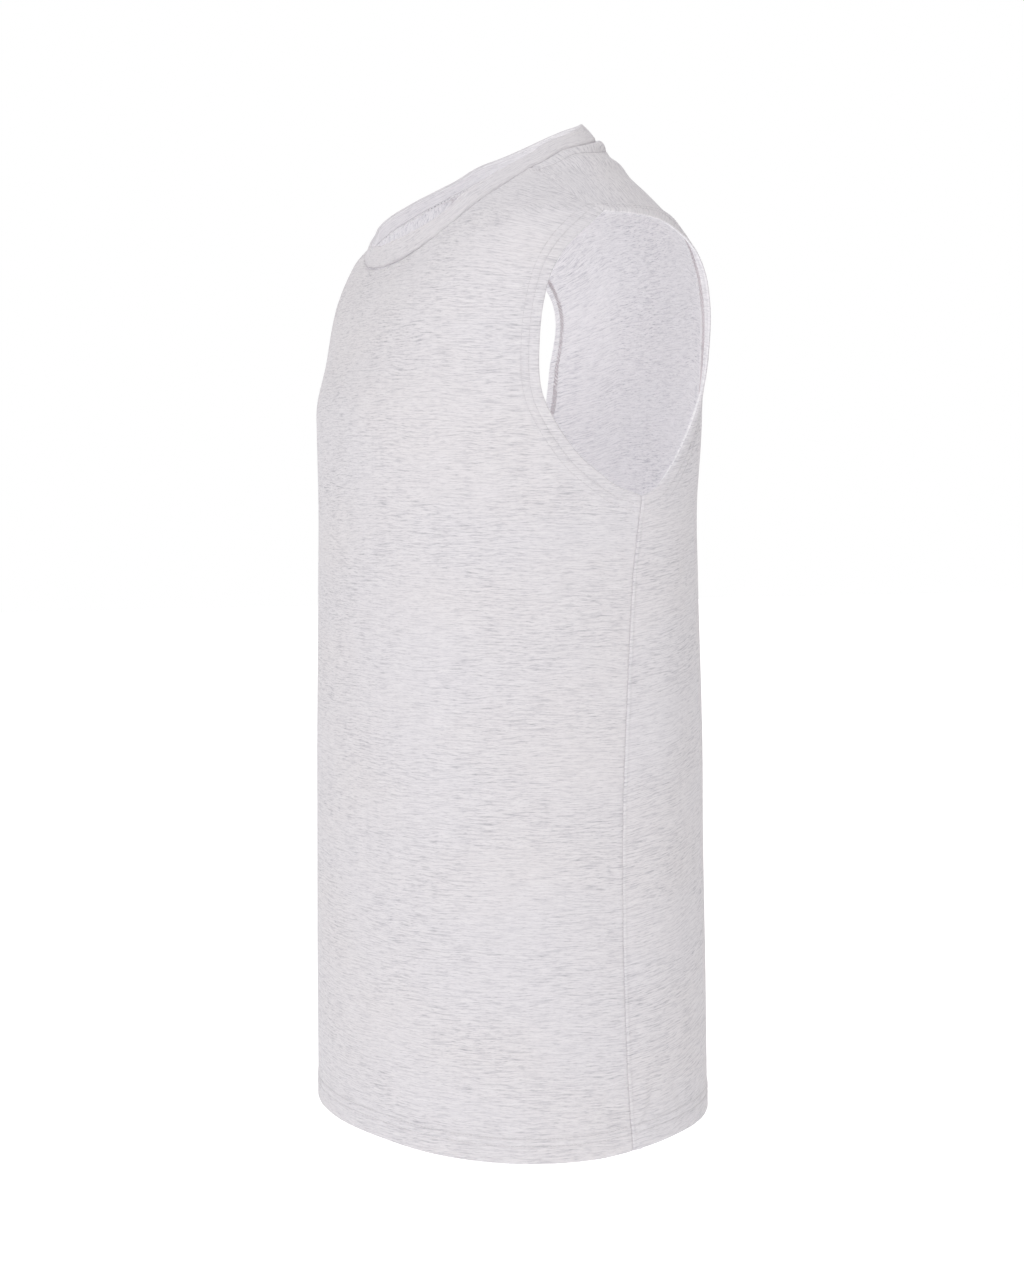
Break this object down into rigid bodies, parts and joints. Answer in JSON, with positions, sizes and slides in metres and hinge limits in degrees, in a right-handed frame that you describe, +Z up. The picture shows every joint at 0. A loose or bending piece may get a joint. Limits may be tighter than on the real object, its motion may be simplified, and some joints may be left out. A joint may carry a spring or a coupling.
{
  "type": "tank top",
  "caption": "Sleeveless crew-neck jersey top in its worn, hollow form, with a folded neckband, turned armhole edges and a straight turned hem.",
  "frame": {"origin": "on the centre plane, level with the shoulder ridge beside the neck and midway between the two shoulders, where a wearer's shoulders carry the cloth", "axes": "+Z up, +X to the wearer's left, -Y to the front"},
  "size_m": [0.3702, 0.2875, 0.7526],
  "materials": {
    "heather_jersey": "matte",
    "neckband_jersey": "matte"
  },
  "bodies": {
    "root": {"front_panel": "heather_jersey", "back_panel": "heather_jersey", "neckband": "neckband_jersey"}
  },
  "joints": []
}
